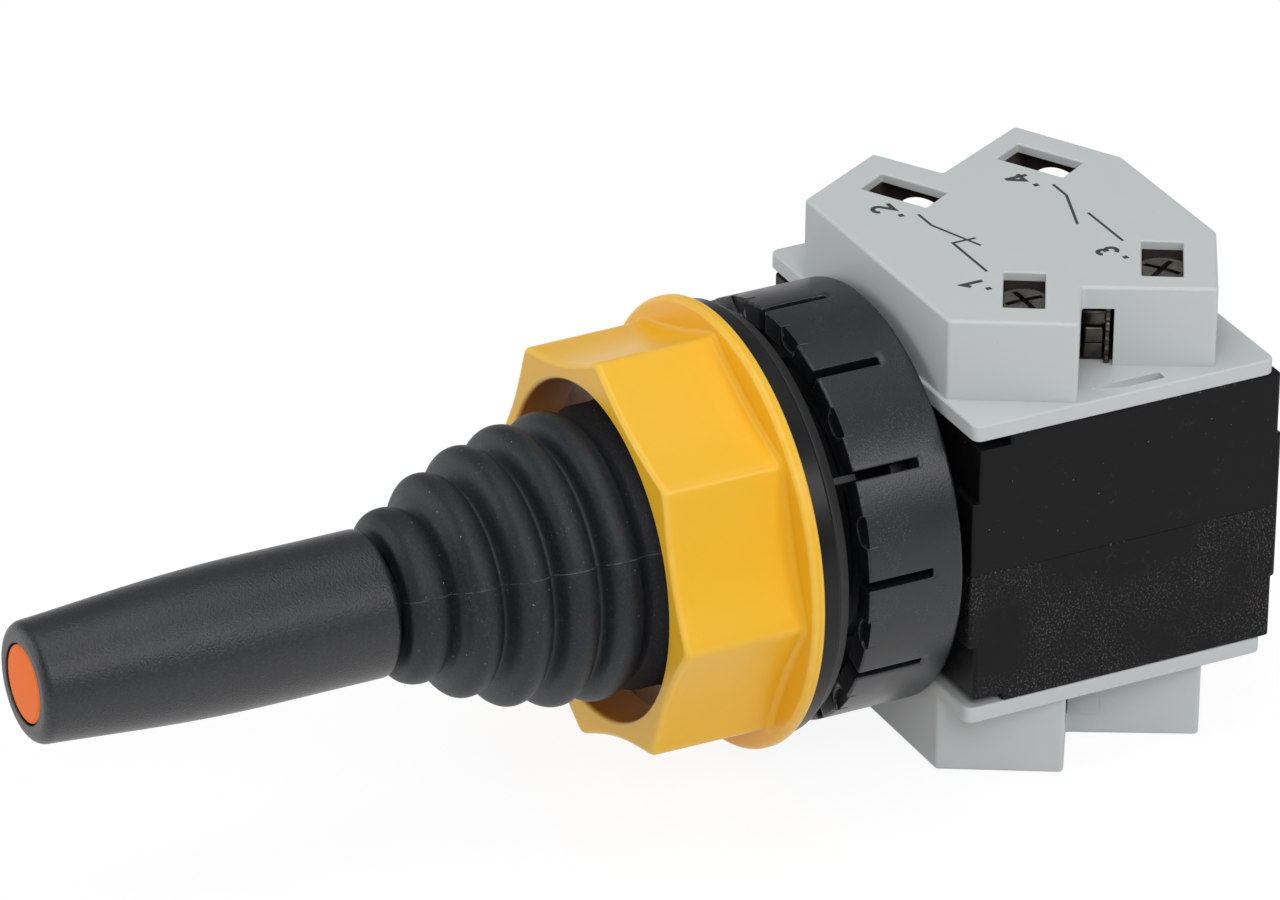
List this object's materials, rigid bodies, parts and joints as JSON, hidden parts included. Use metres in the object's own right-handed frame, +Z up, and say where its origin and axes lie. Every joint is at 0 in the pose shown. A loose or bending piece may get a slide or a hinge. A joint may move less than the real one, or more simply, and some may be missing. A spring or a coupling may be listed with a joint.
{
  "type": "industrial joystick",
  "caption": "Panel-mounted two-way joystick: black grip on a rubber bellows, yellow octagonal nut, slotted collar, and a chamber with a contact block above and below.",
  "frame": {"origin": "centre of the collar's front rim, in the plane of the panel's rear face, on the lever's axis", "axes": "+Y along the lever from the grip into the chamber, so the operator is at -Y; +Z up towards the upper contact block; +X right as the operator sees it"},
  "size_m": [0.048, 0.1321, 0.0526],
  "materials": {
    "grip_black": "fine matte grain",
    "disc_orange": "satin",
    "brass": "machined",
    "bronze": "sintered",
    "steel": "turned",
    "die_cast": "cast, satin",
    "bellows_rubber": "matt moulded rubber",
    "nut_yellow": "satin moulded",
    "ring_black": "satin",
    "gasket_rubber": "textured",
    "neck_black": "moulded",
    "collar_black": "scuffed satin",
    "chamber_black": "satin with specks",
    "chamber_black_rough": "rough, dusty",
    "screw_steel": "zinc plated",
    "clamp_steel": "zinc plated, dull",
    "spring_steel": "drawn wire",
    "block_grey": "satin moulded",
    "contact_brass": "stamped",
    "contact_copper": "stamped",
    "plunger_red": "moulded",
    "slide_cream": "moulded"
  },
  "bodies": {
    "housing": {"pivot_pin": "steel", "bellows": "bellows_rubber", "bellows_retaining_ring": "spring_steel", "bezel_nut": "nut_yellow", "thrust_ring": "ring_black", "front_gasket": "gasket_rubber", "threaded_neck": "neck_black", "slotted_collar": "collar_black", "chamber_upper": "chamber_black", "chamber_lower": "chamber_black_rough", "chamber_screws": "screw_steel", "centring_springs_upper": "spring_steel", "centring_springs_lower": "spring_steel", "block_base_upper": "block_grey", "block_cover_upper": "block_grey", "block_screws_upper": "screw_steel", "terminals_upper": "contact_brass", "terminal_screws_upper": "screw_steel", "clamp_plates_upper": "clamp_steel", "plunger_spring_upper": "spring_steel", "block_base_lower": "block_grey", "block_cover_lower": "block_grey", "block_screws_lower": "screw_steel", "terminals_lower": "contact_brass", "terminal_screws_lower": "screw_steel", "clamp_plates_lower": "clamp_steel", "plunger_spring_lower": "spring_steel"},
    "lever": {"handle_grip": "grip_black", "cap_insert": "disc_orange", "grip_thread_insert": "brass", "lever_shaft": "steel", "shaft_locknut": "steel", "pivot_hub": "die_cast", "pivot_sleeve": "bronze", "lever_tail": "steel"},
    "slide": {"actuating_slide": "slide_cream"},
    "upper_plunger": {"plunger_upper": "plunger_red", "nc_bridge_upper": "contact_copper", "no_bridge_upper": "contact_copper"},
    "lower_plunger": {"plunger_lower": "plunger_red", "nc_bridge_lower": "contact_copper", "no_bridge_lower": "contact_copper"}
  },
  "joints": [
    {"name": "lever_tilt", "type": "hinge", "parent": "housing", "child": "lever", "pos_m": [0, 0.012, 0], "axis": [1, 0, 0], "range_deg": [-10, 10], "stiffness_Nm_per_rad": 2, "deforming": ["bellows"]},
    {"name": "slide_travel", "type": "slide", "parent": "housing", "child": "slide", "axis": [0, 0, 1], "range_m": [-0.00304, 0.00304], "deforming": ["centring_springs_upper", "centring_springs_lower"]},
    {"name": "upper_plunger_travel", "type": "slide", "parent": "housing", "child": "upper_plunger", "axis": [0, 0, 1], "range_m": [-0.00304, 0.00304], "deforming": ["plunger_spring_upper"]},
    {"name": "lower_plunger_travel", "type": "slide", "parent": "housing", "child": "lower_plunger", "axis": [0, 0, 1], "range_m": [-0.00304, 0.00304], "deforming": ["plunger_spring_lower"]}
  ],
  "couplings": [
    {"joint": "slide_travel", "follows": "lever_tilt", "m_per_rad": 0.017412},
    {"joint": "upper_plunger_travel", "follows": "lever_tilt", "m_per_rad": 0.017412},
    {"joint": "lower_plunger_travel", "follows": "lever_tilt", "m_per_rad": 0.017412}
  ]
}
